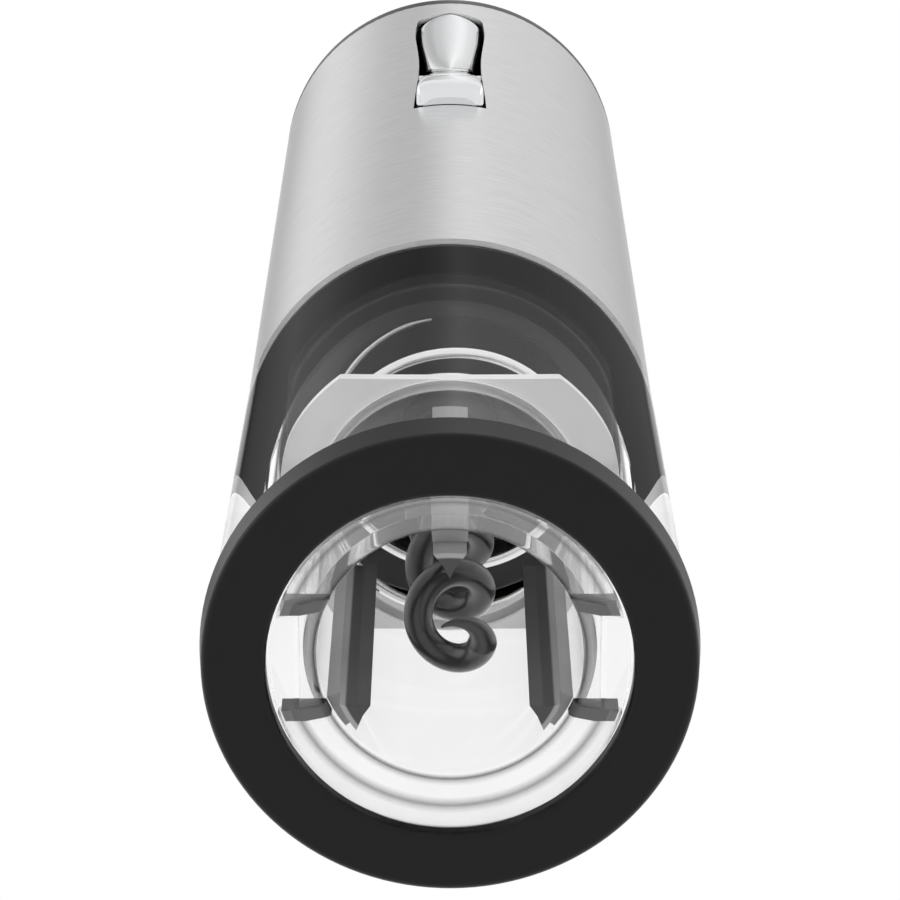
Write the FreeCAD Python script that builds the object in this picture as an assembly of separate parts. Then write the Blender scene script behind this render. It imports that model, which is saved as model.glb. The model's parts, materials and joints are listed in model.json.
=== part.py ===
import FreeCAD, Part
import math
import os

# Electric wine opener. Millimetres, +Z up. The origin is the centre of the face that stands on
# the table, the barrel's axis is Z, and the rocker button faces -Y.

# Barrel and lower end
BARREL_R = 24.0
BARREL_WALL = 0.8
BARREL_BOTTOM_Z = 66.4
BARREL_TOP_Z = 178.6
CAP_TOP_Z = 186.5
CAP_EDGE_R = 5.0
CAP_SHOULDER_ROUND = 4.5
CAP_CROWN_R = 14.4
CAP_CROWN_ROUND = 30.0
CAP_SKIRT_GAP = 0.05
CAP_SKIRT_WALL = 2.0
CAP_FLOOR = 1.0
RING_R = 25.3
RING_FOOT_R = 24.9
RING_HOLE_R = 18.45
RING_HOLE_EDGE = 0.7
RING_FOOT_EDGE = 1.0
RING_FLOOR = 2.0
RING_TOP_Z = 4.3
RING_SKIRT = 0.6
SLEEVE_R_BOTTOM = 24.6
SLEEVE_R_TOP = 24.05
SLEEVE_BORE_R = 19.6
SLEEVE_TOP_Z = 66.0
RAIL_HALF_WIDTH = 4.9
RAIL_FACE_X = 15.7
RAIL_BOTTOM_Z = 1.2
RAIL_TOP_Z = 42.8

# Neck guide, its ribs and its spring
GUIDE_BORE_R = 13.5
GUIDE_CORE_R = 12.5
GUIDE_TUBE_R = 14.9
GUIDE_LIP_R = 18.1
GUIDE_LIP_Z = 0.9
GUIDE_LIP_TOP_Z = 2.3
GUIDE_LIP_EDGE = 0.4
GUIDE_LIP_WALL = 0.2
GUIDE_LIP_FACE = 0.1
THROAT_Z = 3.2
THROAT_EDGE = 1.5
THROAT_EDGE_RISE = 1.3
FLARE_ROOT_Z = 4.7
FLARE_ROOT_EDGE = 0.6
FLANGE_R = 19.1
FLANGE_BOTTOM_Z = 43.1
FLANGE_TOP_Z = 44.6
FLANGE_EDGE = 0.3
FLANGE_FLAT_Y = 14.9
NOTCH_HALF_WIDTH = 5.2
NOTCH_FACE_X = 15.2
KEY_THICK = 1.2
KEY_R = 17.8
KEY_ROOT_R = 13.6
KEY_BOTTOM_Z = 1.5
KEY_TOP_Z = 4.4
KEY_PROUD = 0.5
RIB_ANGLES = (-90, 30, 150)
RIB_TIP_R = 9.25
RIB_SHOULDER_R = 10.5
RIB_SHOULDER_HALF = 0.6
RIB_BODY_R = 12.0
RIB_BODY_HALF = 1.75
RIB_ROOT_HALF = 2.0
RIB_BOTTOM_Z = 1.4
RIB_TOP_Z = 37.7
SPRING_R = 14.2
SPRING_WIRE_R = 0.65
SPRING_PITCH = 13.3
SPRING_TURNS = 2.4
SPRING_BLEND = 0.6
SPRING_POINTS_PER_TURN = 16

# Bulkhead between the clear end and the drive
BULKHEAD_R = 23.15
BULKHEAD_TOP_Z = 70.5
PLUG_R = 19.3
PLUG_BORE_R = 15.2
PLUG_BOTTOM_Z = 62.8
PLUG_EDGE = 0.4
SEAT_Z = 67.6
BUSH_FLANGE_R = 5.4
BUSH_FLANGE = 1.0
BUSH_R = 4.5
BUSH_TOP_Z = 72.5

# Worm and output shaft
WORM_R = 3.3
WORM_WIRE_R = 1.5
WORM_PITCH = 13.0
WORM_TIP_ANGLE = -105
WORM_TIP_Z = 3.3
WORM_TIP_WIRE_R = 0.12
WORM_POINT_ANGLE = 110
WORM_POINT_SECTIONS = 9
WORM_TOP_Z = 62.6
WORM_SOCKET_R = 4.85
WORM_SOCKET_TOP_Z = 64.3
CHUCK_R = 5.5
CHUCK_BOTTOM_Z = 59.0
CHUCK_TOP_Z = 66.95
CHUCK_CHAMFER = 0.4
SHAFT_R = 3.0
SHAFT_BOTTOM_Z = 64.3
WASHER = 0.35
SET_SCREW_R = 0.9
SET_SCREW_Z = 65.3

# Planetary reduction: sun drives, ring fixed, carrier turns the worm
MODULE = 0.6
SUN_TEETH = 12
PLANET_TEETH = 18
RING_TEETH = SUN_TEETH + 2 * PLANET_TEETH
PRESSURE_ANGLE = math.radians(20)
TOOTH_THINNING = 0.1
ADDENDUM = 0.9 * MODULE
DEDENDUM = 1.25 * MODULE
PLANET_COUNT = 3
PLANET_ORBIT_R = MODULE * (SUN_TEETH + PLANET_TEETH) / 2
CARRIER_R = 12.6
CARRIER_BOTTOM_Z = 73.0
CARRIER_TOP_Z = 75.5
PLANET_BOTTOM_Z = 75.8
PLANET_TOP_Z = 81.0
PLANET_PIN_R = 1.5
PIN_TOP_Z = 81.9
CLIP_R = 2.8
CLIP_BOTTOM_Z = 81.3
CLIP_THICK = 0.4
SUN_TOP_Z = 81.6
CASE_R = 17.5
CASE_BORE_R = 16.2
CASE_FLOOR = 2.0
CASE_TOP_Z = 84.0
RING_GEAR_BOTTOM_Z = 75.4
RING_GEAR_TOP_Z = 82.0
COVER_TOP_Z = 86.0
LUG_ORBIT_R = 18.7
LUG_R = 2.4
LUG_ANGLES = (30, 150, 270)
LUG_SCREW_R = 1.0
LUG_HEAD_R = 1.9
LUG_HEAD = 1.4
LUG_SCREW_BOTTOM_Z = 67.8

# Motor
MOTOR_R = 13.85
MOTOR_WALL = 1.0
MOTOR_TOP_Z = 112.0
MOTOR_BOSS_R = 3.5
MOTOR_BOSS = 1.6
MOTOR_SHAFT_R = 1.15
MOTOR_SHAFT_TOP_Z = 115.6
MAGNET_R = 12.8
MAGNET_BORE_R = 10.6
MAGNET_HALF_GAP = 3.0
ARMATURE_R = 10.2
ARMATURE_POLES = 5
ARMATURE_SLOT_R = 2.1
ARMATURE_BOTTOM_Z = 90.0
ARMATURE_TOP_Z = 106.0
COMMUTATOR_R = 3.6
COMMUTATOR_TOP_Z = 110.0
END_BELL_TOP_Z = 115.0
END_BOSS_R = 3.2
END_BOSS_TOP_Z = 116.4
TERMINAL_X = 9.5
TERMINAL_HALF_WIDTH = 1.4
TERMINAL_THICK = 0.5
TERMINAL_TOP_Z = 117.2
MOUNT_SCREW_ORBIT_R = 8.0
MOUNT_SCREW_R = 1.0
MOUNT_SCREW_HEAD_R = 1.8
MOUNT_SCREW_HEAD = 0.9

# Chassis, cells and electronics
CHASSIS_R = 23.0
CHASSIS_BORE_R = 21.6
CHASSIS_BOTTOM_Z = 70.6
CHASSIS_TOP_Z = 173.8
CRADLE_R = 21.4
CRADLE_BOTTOM_Z = 117.6
CRADLE_TOP_Z = 172.6
CRADLE_PLATE = 2.0
CRADLE_FRONT_Y = -11.95
CRADLE_POST_X = (14.0, 16.4)
CRADLE_POST_BACK_Y = -2.0
CELL_R = 7.1
CELL_X = 7.4
CELL_Y = 6.0
CELL_BOTTOM_Z = 120.0
CELL_LENGTH = 50.0
CELL_NUB_R = 2.75
CELL_NUB = 1.0
STRAP = 0.3
STRAP_HALF_WIDTH = 3.0
BOARD_FRONT_Y = -13.6
BOARD_BACK_Y = -12.0
BOARD_HALF_WIDTH = 15.8
BOARD_BOTTOM_Z = 121.0
BOARD_TOP_Z = 171.0
BOARD_SCREW_X = 15.2
BOARD_SCREW_ZS = (124.0, 168.0)
BOARD_SCREW_R = 0.4
BOARD_SCREW_HEAD_R = 0.7
BOARD_SCREW_HEAD = 0.6
BOARD_SCREW_LENGTH = 4.0
SWITCH_HALF = 3.0
SWITCH_FACE_Y = -16.9
PLUNGER_R = 1.6
PLUNGER_FACE_Y = -17.4
SOCKET_Z = 157.9
SOCKET_HALF_WIDTH = 4.47
SOCKET_HALF_HEIGHT = 1.58
SOCKET_WALL = 0.3
SOCKET_MOUTH_Y = 23.1
SOCKET_BACK_Y = 15.7
SOCKET_TONGUE_HALF_WIDTH = 3.35
SOCKET_TONGUE_HALF_HEIGHT = 0.35
SOCKET_TONGUE_TIP_Y = 22.0
SOCKET_GAP = 0.35
CHARGE_BOARD_HALF_WIDTH = 7.0
CHARGE_BOARD_Y = (13.6, 20.0)
CHARGE_BOARD_THICK = 1.0

# Rocker button down its length: (height, half width, slot gap beside it), then (height, stand-off
# from the barrel). Its upper end is round.
ROCKER_BOTTOM_Z = 124.0
ROCKER_TOP_Z = 172.6
ROCKER_SIDES = ((124.0, 4.4, 0.35), (134.0, 3.85, 0.6), (145.0, 3.45, 0.75), (155.0, 3.8, 0.75),
                (162.0, 4.25, 0.6), (168.0, 4.4, 0.25))
ROCKER_END_GAP = 0.3
ROCKER_STAND_OFFS = ((125.2, 3.0), (130.0, 2.6), (138.0, 1.0), (145.0, 0.0), (155.0, -0.8),
                     (165.0, -0.6), (172.6, -0.1))
ROCKER_NOSE_RISE = 0.5
ROCKER_BACK_Y = -20.5
PIVOT_Y = -21.6
PIVOT_Z = 145.0
PIVOT_R = 0.6
PIVOT_HALF_LENGTH = 5.2
LUG_BLOCK_X = (4.0, 6.2)
LUG_BLOCK_BACK_Y = -20.0
LUG_BLOCK_HALF_HEIGHT = 2.0
POST_R = 1.5
POST_ZS = (131.0, 160.0)
POST_GAP = 0.95

RUNNING_FIT = 0.06
TOUCH_OVERLAP = 0.2
FAR = 60.0

V = FreeCAD.Vector
UP = V(0, 0, 1)
BACK = V(0, 1, 0)
RIGHT = V(1, 0, 0)
ORIGIN = V(0, 0, 0)


def turned(corners):
    """Solid of revolution about Z from a closed outline of (r, z) or (r, z, corner radius)."""
    points = [V(corner[0], 0, corner[1]) for corner in corners]
    radii = [corner[2] if len(corner) > 2 else 0 for corner in corners]
    edges = []
    count = len(points)
    stops = []
    for i in range(count):
        stops.append(rounded_corner(points[i - 1], points[i], points[(i + 1) % count], radii[i]))
    for i in range(count):
        start, middle, end = stops[i]
        previous_end = stops[i - 1][2]
        edges.append(Part.LineSegment(previous_end, start).toShape())
        if radii[i] > 0:
            edges.append(Part.Arc(start, middle, end).toShape())
    return Part.Face(Part.Wire(edges)).revolve(ORIGIN, UP, 360)


def rounded_corner(before, corner, after, radius):
    """Start, middle and end of the tangent arc that rounds one corner of an outline."""
    if radius == 0:
        return corner, corner, corner
    back = (before - corner).normalize()
    onward = (after - corner).normalize()
    half = back.getAngle(onward) / 2
    bisector = (back + onward).normalize()
    centre = corner + bisector * (radius / math.sin(half))
    reach = radius / math.tan(half)
    return corner + back * reach, centre - bisector * radius, corner + onward * reach


def rod(radius, bottom, top, x=0.0, y=0.0):
    return Part.makeCylinder(radius, top - bottom, V(x, y, bottom))


def tube(outer, inner, bottom, top, x=0.0, y=0.0):
    return rod(outer, bottom, top, x, y).cut(rod(inner, bottom, top, x, y))


def block(x_span, y_span, z_span):
    size = [span[1] - span[0] for span in (x_span, y_span, z_span)]
    return Part.makeBox(*size, V(x_span[0], y_span[0], z_span[0]))


def prism(points, bottom, top):
    """Upright prism over a closed outline of (x, y) points."""
    corners = [V(x, y, bottom) for x, y in points]
    return Part.Face(Part.makePolygon(corners + corners[:1])).extrude(UP * (top - bottom))


def spun(shape, degrees):
    return shape.rotated(ORIGIN, UP, degrees)


def spread(shape, angles):
    return [spun(shape, angle) for angle in angles]


def fused(shapes):
    return shapes[0].fuse(shapes[1:]).removeSplitter()


# Lower end

def bottom_ring():
    return turned([
        (RING_HOLE_R, 0.0, RING_HOLE_EDGE),
        (RING_FOOT_R, 0.0, RING_FOOT_EDGE),
        (RING_R, RING_TOP_Z),
        (RING_R - RING_SKIRT, RING_TOP_Z),
        (RING_R - RING_SKIRT, RING_FLOOR),
        (RING_HOLE_R, RING_FLOOR),
    ])


def clear_sleeve():
    """Clear barrel end with two inner rails that guide and stop the neck guide."""
    shell = turned([
        (SLEEVE_BORE_R, RING_FLOOR),
        (SLEEVE_R_BOTTOM, RING_FLOOR),
        (SLEEVE_R_BOTTOM, RING_TOP_Z),
        (SLEEVE_R_TOP, SLEEVE_TOP_Z),
        (SLEEVE_BORE_R, SLEEVE_TOP_Z),
    ])
    rail_sides = (-RAIL_HALF_WIDTH, RAIL_HALF_WIDTH)
    rail = block((RAIL_FACE_X, FAR), rail_sides, (RING_FLOOR, RAIL_TOP_Z))
    rail = rail.common(rod(SLEEVE_BORE_R + TOUCH_OVERLAP, 0, RAIL_TOP_Z))
    foot = block((RAIL_FACE_X, FAR), rail_sides, (RAIL_BOTTOM_Z, RING_FLOOR + TOUCH_OVERLAP))
    foot = foot.common(rod(GUIDE_LIP_R, 0, RAIL_TOP_Z))
    side = rail.fuse(foot)
    return fused([shell, side, spun(side, 180)])


def neck_guide():
    """Sliding collar: a flared mouth that centres the bottle, a throat tube and a spring flange."""
    body = turned([
        (GUIDE_CORE_R, GUIDE_LIP_Z),
        (GUIDE_LIP_R, GUIDE_LIP_Z),
        (GUIDE_LIP_R, GUIDE_LIP_TOP_Z, GUIDE_LIP_EDGE),
        (GUIDE_TUBE_R, FLARE_ROOT_Z, FLARE_ROOT_EDGE),
        (GUIDE_TUBE_R, FLANGE_BOTTOM_Z),
        (FLANGE_R, FLANGE_BOTTOM_Z),
        (FLANGE_R, FLANGE_TOP_Z, FLANGE_EDGE),
        (GUIDE_CORE_R, FLANGE_TOP_Z),
    ])
    notch = block((NOTCH_FACE_X, FAR), (-NOTCH_HALF_WIDTH, NOTCH_HALF_WIDTH), (0, FLANGE_BOTTOM_Z))
    flat = block((-FAR, FAR), (FLANGE_FLAT_Y, FAR), (FLANGE_BOTTOM_Z - TOUCH_OVERLAP, FAR))
    return body.cut([guide_passage(), notch, spun(notch, 180), flat, spun(flat, 180)] + guide_keys())


def guide_passage():
    """The space inside the guide: its flared mouth and its throat."""
    return turned([
        (0.0, 0.0),
        (GUIDE_LIP_R - GUIDE_LIP_WALL, 0.0),
        (GUIDE_LIP_R - GUIDE_LIP_WALL, GUIDE_LIP_Z + GUIDE_LIP_FACE, GUIDE_LIP_FACE),
        (GUIDE_BORE_R, THROAT_Z, THROAT_EDGE),
        (GUIDE_BORE_R, FAR),
        (0.0, FAR),
    ])


def guide_keys():
    """Four lugs set across the guide's mouth, beside the sleeve's rails."""
    height = (KEY_BOTTOM_Z, KEY_TOP_Z)
    plate = block((0, FAR), (NOTCH_HALF_WIDTH, NOTCH_HALF_WIDTH + KEY_THICK), height)
    back_right = plate.common(tube(KEY_R, KEY_ROOT_R, *height))
    back_right = back_right.cut(guide_passage().translated(V(0, 0, -KEY_PROUD)))
    front_right = back_right.mirror(ORIGIN, BACK)
    return [back_right, front_right, spun(back_right, 180), spun(front_right, 180)]


def cork_grip_ribs():
    """Three blade-edged ribs in the throat that stop the cork turning with the worm."""
    half_outline = [
        (RIB_SHOULDER_R, RIB_SHOULDER_HALF),
        (RIB_BODY_R, RIB_BODY_HALF),
        (GUIDE_TUBE_R, RIB_ROOT_HALF),
    ]
    mirrored = [(r, -half) for r, half in reversed(half_outline)]
    rib = prism([(RIB_TIP_R, 0.0)] + half_outline + mirrored, RIB_BOTTOM_Z, RIB_TOP_Z)
    bore = rod(GUIDE_BORE_R, THROAT_Z + THROAT_EDGE_RISE, RIB_TOP_Z)
    room = fused([rod(RIB_BODY_R, RIB_BOTTOM_Z, RIB_TOP_Z), bore])
    return spread(rib.common(room), RIB_ANGLES)


def guide_spring():
    """Return spring: a closed coil on the guide's flange, then open coils up to the bulkhead."""
    bottom = FLANGE_TOP_Z + SPRING_WIRE_R
    top = SEAT_Z - SPRING_WIRE_R
    points = []
    steps = round(SPRING_TURNS * SPRING_POINTS_PER_TURN)
    for i in range(steps + 1):
        turns = i / SPRING_POINTS_PER_TURN - SPRING_TURNS
        open_rise = (top + SPRING_PITCH * turns - bottom) / SPRING_BLEND
        height = bottom + SPRING_BLEND * math.log1p(math.exp(open_rise))
        angle = 2 * math.pi * turns - math.pi / 2
        points.append(V(SPRING_R * math.cos(angle), SPRING_R * math.sin(angle), height))
    curve = Part.BSplineCurve()
    curve.interpolate(points)
    path = Part.Wire([curve.toShape()])
    start_along = curve.tangent(curve.FirstParameter)[0]
    section = Part.Wire([Part.Circle(points[0], start_along, SPRING_WIRE_R).toShape()])
    return path.makePipeShell([section], True, True)


# Bulkhead and output

def bulkhead():
    """Disc that closes the barrel, with a plug whose recess seats the guide's spring."""
    disc = turned([
        (0.0, SEAT_Z),
        (PLUG_BORE_R, SEAT_Z),
        (PLUG_BORE_R, PLUG_BOTTOM_Z, PLUG_EDGE),
        (PLUG_R, PLUG_BOTTOM_Z, PLUG_EDGE),
        (PLUG_R, SLEEVE_TOP_Z),
        (BULKHEAD_R, SLEEVE_TOP_Z),
        (BULKHEAD_R, BULKHEAD_TOP_Z),
        (0.0, BULKHEAD_TOP_Z),
    ])
    cuts = [rod(BUSH_FLANGE_R, SEAT_Z, SEAT_Z + BUSH_FLANGE), rod(BUSH_R, SEAT_Z, BULKHEAD_TOP_Z)]
    cuts += lug_rods(LUG_SCREW_R, LUG_SCREW_BOTTOM_Z, BULKHEAD_TOP_Z)
    return disc.cut(cuts)


def output_bush():
    bush = fused([rod(BUSH_FLANGE_R, SEAT_Z, SEAT_Z + BUSH_FLANGE), rod(BUSH_R, SEAT_Z, BUSH_TOP_Z)])
    return bush.cut(rod(SHAFT_R + RUNNING_FIT, SEAT_Z, BUSH_TOP_Z))


def helix_point(turn_degrees):
    """Point on the worm's centre line, counted in degrees from its tip."""
    angle = math.radians(WORM_TIP_ANGLE + turn_degrees)
    height = WORM_TIP_Z + WORM_PITCH * turn_degrees / 360
    return V(WORM_R * math.cos(angle), WORM_R * math.sin(angle), height)


def helix_section(turn_degrees, radius):
    angle = math.radians(WORM_TIP_ANGLE + turn_degrees)
    along = V(-math.sin(angle), math.cos(angle), WORM_PITCH / (2 * math.pi * WORM_R))
    return Part.Wire([Part.Circle(helix_point(turn_degrees), along, radius).toShape()])


def worm():
    """Open helix of round wire whose lower end is ground to a point."""
    sections = []
    for i in range(WORM_POINT_SECTIONS):
        share = i / (WORM_POINT_SECTIONS - 1)
        radius = WORM_TIP_WIRE_R + (WORM_WIRE_R - WORM_TIP_WIRE_R) * share
        sections.append(helix_section(WORM_POINT_ANGLE * share, radius))
    point = Part.makeLoft(sections, True)
    start = helix_point(WORM_POINT_ANGLE)
    path = Part.makeHelix(WORM_PITCH, WORM_TOP_Z - start.z, WORM_R)
    path.rotate(ORIGIN, UP, WORM_TIP_ANGLE + WORM_POINT_ANGLE)
    path.translate(V(0, 0, start.z))
    coil = Part.Wire(path.Edges).makePipeShell([helix_section(WORM_POINT_ANGLE, WORM_WIRE_R)], True, True)
    return point.fuse(coil)


def chuck():
    """Hub with a cup that holds the worm's top turn, bored from above for the output shaft."""
    hub = turned([
        (WORM_SOCKET_R, CHUCK_BOTTOM_Z),
        (CHUCK_R - CHUCK_CHAMFER, CHUCK_BOTTOM_Z),
        (CHUCK_R, CHUCK_BOTTOM_Z + CHUCK_CHAMFER),
        (CHUCK_R, CHUCK_TOP_Z),
        (SHAFT_R, CHUCK_TOP_Z),
        (SHAFT_R, WORM_SOCKET_TOP_Z),
        (WORM_SOCKET_R, WORM_SOCKET_TOP_Z),
    ])
    return hub.cut(Part.makeCylinder(SET_SCREW_R, CHUCK_R, V(0, 0, SET_SCREW_Z), RIGHT))


def chuck_screw():
    screw = Part.makeCylinder(SET_SCREW_R, CHUCK_R - TOUCH_OVERLAP, V(0, 0, SET_SCREW_Z), RIGHT)
    return screw.cut(rod(SHAFT_R, SHAFT_BOTTOM_Z, CHUCK_TOP_Z))


def thrust_washer():
    return tube(CHUCK_R, SHAFT_R, CHUCK_TOP_Z, CHUCK_TOP_Z + WASHER)


def output_shaft():
    return rod(SHAFT_R, SHAFT_BOTTOM_Z, CARRIER_TOP_Z)


# Gear train

def involute(angle):
    return math.tan(angle) - angle


def gear_outline(teeth, root_r, tip_r, thinning):
    """Points round a gear whose first tooth is centred on +X; thinning is taken off each tooth."""
    pitch_r = MODULE * teeth / 2
    base_r = pitch_r * math.cos(PRESSURE_ANGLE)
    flank = []
    for radius in (root_r, (root_r + pitch_r) / 2, pitch_r, (pitch_r + tip_r) / 2, tip_r):
        roll = math.acos(min(1.0, base_r / radius))
        half = math.pi / (2 * teeth) + involute(PRESSURE_ANGLE) - involute(roll) - thinning / (2 * pitch_r)
        flank.append((radius, half))
    points = []
    for tooth in range(teeth):
        centre = 2 * math.pi * tooth / teeth
        for radius, half in flank:
            points.append((radius * math.cos(centre - half), radius * math.sin(centre - half)))
        for radius, half in reversed(flank):
            points.append((radius * math.cos(centre + half), radius * math.sin(centre + half)))
    return points


def external_gear(teeth, bottom, top):
    pitch_r = MODULE * teeth / 2
    return prism(gear_outline(teeth, pitch_r - DEDENDUM, pitch_r + ADDENDUM, TOOTH_THINNING), bottom, top)


def sun_gear():
    gear = external_gear(SUN_TEETH, PLANET_BOTTOM_Z, SUN_TOP_Z)
    return gear.cut(rod(MOTOR_SHAFT_R, PLANET_BOTTOM_Z, SUN_TOP_Z))


def planet_gear():
    """Planet on +X: half a tooth round from the first-tooth position, so it meshes with the sun."""
    gear = spun(external_gear(PLANET_TEETH, PLANET_BOTTOM_Z, PLANET_TOP_Z), 180 / PLANET_TEETH)
    gear = gear.cut(rod(PLANET_PIN_R + RUNNING_FIT, PLANET_BOTTOM_Z, PLANET_TOP_Z))
    return gear.translated(V(PLANET_ORBIT_R, 0, 0))


def ring_gear():
    """Fixed internal gear: its spaces are thickened teeth, so its own teeth are thinned."""
    pitch_r = MODULE * RING_TEETH / 2
    spaces = gear_outline(RING_TEETH, pitch_r - ADDENDUM, pitch_r + DEDENDUM, -TOOTH_THINNING)
    hole = spun(prism(spaces, RING_GEAR_BOTTOM_Z, RING_GEAR_TOP_Z), 180 / RING_TEETH)
    return rod(CASE_BORE_R, RING_GEAR_BOTTOM_Z, RING_GEAR_TOP_Z).cut(hole)


def planet_angles():
    return [360 * i / PLANET_COUNT for i in range(PLANET_COUNT)]


def planet_carrier():
    plate = rod(CARRIER_R, CARRIER_BOTTOM_Z, CARRIER_TOP_Z)
    pin_hole = rod(PLANET_PIN_R, CARRIER_BOTTOM_Z, CARRIER_TOP_Z, PLANET_ORBIT_R)
    return plate.cut(spread(pin_hole, planet_angles()) + [rod(SHAFT_R, CARRIER_BOTTOM_Z, CARRIER_TOP_Z)])


def planet_pins():
    return spread(rod(PLANET_PIN_R, CARRIER_BOTTOM_Z, PIN_TOP_Z, PLANET_ORBIT_R), planet_angles())


def planet_clips():
    clip = tube(CLIP_R, PLANET_PIN_R, CLIP_BOTTOM_Z, CLIP_BOTTOM_Z + CLIP_THICK, PLANET_ORBIT_R)
    return spread(clip, planet_angles())


def lug_rods(radius, bottom, top):
    return spread(rod(radius, bottom, top, LUG_ORBIT_R), LUG_ANGLES)


def mount_screw_rods(radius, bottom, top):
    return spread(rod(radius, bottom, top, MOUNT_SCREW_ORBIT_R), (0, 180))


def gear_case():
    floor_top = BULKHEAD_TOP_Z + CASE_FLOOR
    body = fused([rod(CASE_R, BULKHEAD_TOP_Z, CASE_TOP_Z)] + lug_rods(LUG_R, BULKHEAD_TOP_Z, CASE_TOP_Z))
    cuts = [rod(CASE_BORE_R, floor_top, CASE_TOP_Z), rod(BUSH_R, BULKHEAD_TOP_Z, floor_top)]
    return body.cut(cuts + lug_rods(LUG_SCREW_R, BULKHEAD_TOP_Z, CASE_TOP_Z))


def gear_cover():
    plate = fused([rod(CASE_R, CASE_TOP_Z, COVER_TOP_Z)] + lug_rods(LUG_R, CASE_TOP_Z, COVER_TOP_Z))
    cuts = [rod(MOTOR_BOSS_R, CASE_TOP_Z, COVER_TOP_Z)]
    cuts += lug_rods(LUG_SCREW_R, CASE_TOP_Z, COVER_TOP_Z)
    cuts += mount_screw_rods(MOUNT_SCREW_R, CASE_TOP_Z, COVER_TOP_Z)
    return plate.cut(cuts)


def gearbox_screws():
    shanks = lug_rods(LUG_SCREW_R, LUG_SCREW_BOTTOM_Z, COVER_TOP_Z)
    heads = lug_rods(LUG_HEAD_R, COVER_TOP_Z, COVER_TOP_Z + LUG_HEAD)
    return [fused([shank, head]) for shank, head in zip(shanks, heads)]


# Motor

def motor_can():
    """Drawn steel can with a front boss that locates it in the gear cover."""
    inner_bottom = COVER_TOP_Z + MOTOR_WALL
    boss = rod(MOTOR_BOSS_R, COVER_TOP_Z - MOTOR_BOSS, COVER_TOP_Z)
    can = fused([rod(MOTOR_R, COVER_TOP_Z, MOTOR_TOP_Z), boss])
    cuts = [rod(MOTOR_R - MOTOR_WALL, inner_bottom, MOTOR_TOP_Z)]
    cuts += [rod(MOTOR_SHAFT_R + RUNNING_FIT, COVER_TOP_Z - MOTOR_BOSS, inner_bottom)]
    cuts += mount_screw_rods(MOUNT_SCREW_R, COVER_TOP_Z, inner_bottom)
    return can.cut(cuts)


def motor_screws():
    top = COVER_TOP_Z + MOTOR_WALL
    shanks = mount_screw_rods(MOUNT_SCREW_R, CASE_TOP_Z, top)
    heads = mount_screw_rods(MOUNT_SCREW_HEAD_R, CASE_TOP_Z - MOUNT_SCREW_HEAD, CASE_TOP_Z)
    return [fused([shank, head]) for shank, head in zip(shanks, heads)]


def motor_magnets():
    """Two arc magnets against the can's wall."""
    pair = tube(MAGNET_R, MAGNET_BORE_R, ARMATURE_BOTTOM_Z, ARMATURE_TOP_Z)
    gap = block((-FAR, FAR), (-MAGNET_HALF_GAP, MAGNET_HALF_GAP), (ARMATURE_BOTTOM_Z, ARMATURE_TOP_Z))
    return pair.cut(gap).Solids


def motor_shaft():
    return rod(MOTOR_SHAFT_R, PLANET_BOTTOM_Z, MOTOR_SHAFT_TOP_Z)


def motor_armature():
    """Slotted core on the motor shaft."""
    core = rod(ARMATURE_R, ARMATURE_BOTTOM_Z, ARMATURE_TOP_Z)
    slot = rod(ARMATURE_SLOT_R, ARMATURE_BOTTOM_Z, ARMATURE_TOP_Z, ARMATURE_R - ARMATURE_SLOT_R / 2)
    slots = spread(slot, [360 * i / ARMATURE_POLES for i in range(ARMATURE_POLES)])
    return core.cut(slots + [rod(MOTOR_SHAFT_R, ARMATURE_BOTTOM_Z, ARMATURE_TOP_Z)])


def motor_commutator():
    return tube(COMMUTATOR_R, MOTOR_SHAFT_R, ARMATURE_TOP_Z, COMMUTATOR_TOP_Z)


def terminal_blocks(clearance):
    y_span = (-TERMINAL_HALF_WIDTH - clearance, TERMINAL_HALF_WIDTH + clearance)
    tab = block((TERMINAL_X - clearance, TERMINAL_X + TERMINAL_THICK + clearance), y_span,
                (MOTOR_TOP_Z, TERMINAL_TOP_Z))
    return [tab, spun(tab, 180)]


def motor_end_bell():
    boss = rod(END_BOSS_R, END_BELL_TOP_Z, END_BOSS_TOP_Z)
    bell = fused([rod(MOTOR_R, MOTOR_TOP_Z, END_BELL_TOP_Z), boss])
    shaft_hole = rod(MOTOR_SHAFT_R + RUNNING_FIT, MOTOR_TOP_Z, MOTOR_SHAFT_TOP_Z + SOCKET_GAP)
    return bell.cut([shaft_hole] + terminal_blocks(0.0))


def motor_terminals():
    return terminal_blocks(0.0)


# Handle interior

def button_window(gap_share):
    """Cutter with the rocker's waisted outline; a gap share of 1 adds the slot round it."""
    right_side = [V(half + gap * gap_share, -FAR, z) for z, half, gap in ROCKER_SIDES]
    right_side[0] -= V(0, 0, ROCKER_END_GAP * gap_share)
    left_side = [V(-point.x, point.y, point.z) for point in right_side]
    top = V(0, -FAR, ROCKER_TOP_Z + ROCKER_END_GAP * gap_share)
    edges = [Part.LineSegment(left_side[0], right_side[0]).toShape()]
    edges.append(Part.Arc(right_side[-1], top, left_side[-1]).toShape())
    for side in (right_side, left_side):
        curve = Part.BSplineCurve()
        curve.interpolate(side)
        edges.append(curve.toShape())
    outline = Part.Wire(Part.__sortEdges__(edges))
    return Part.Face(outline).extrude(BACK * FAR)


def socket_slot(half_width, half_height, front_y, back_y):
    """Flat-sided slot with round ends, lying along Y at the charge socket."""
    length = back_y - front_y
    centre_x = half_width - half_height
    x_span = (-centre_x, centre_x)
    ends = [Part.makeCylinder(half_height, length, V(x, front_y, SOCKET_Z), BACK) for x in x_span]
    z_span = (SOCKET_Z - half_height, SOCKET_Z + half_height)
    middle = block(x_span, (front_y, back_y), z_span)
    return fused([middle] + ends)


def socket_opening():
    return socket_slot(SOCKET_HALF_WIDTH + SOCKET_GAP, SOCKET_HALF_HEIGHT + SOCKET_GAP, 0.0, FAR)


def pivot_rod(radius, half_length):
    return Part.makeCylinder(radius, 2 * half_length, V(-half_length, PIVOT_Y, PIVOT_Z), RIGHT)


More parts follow.
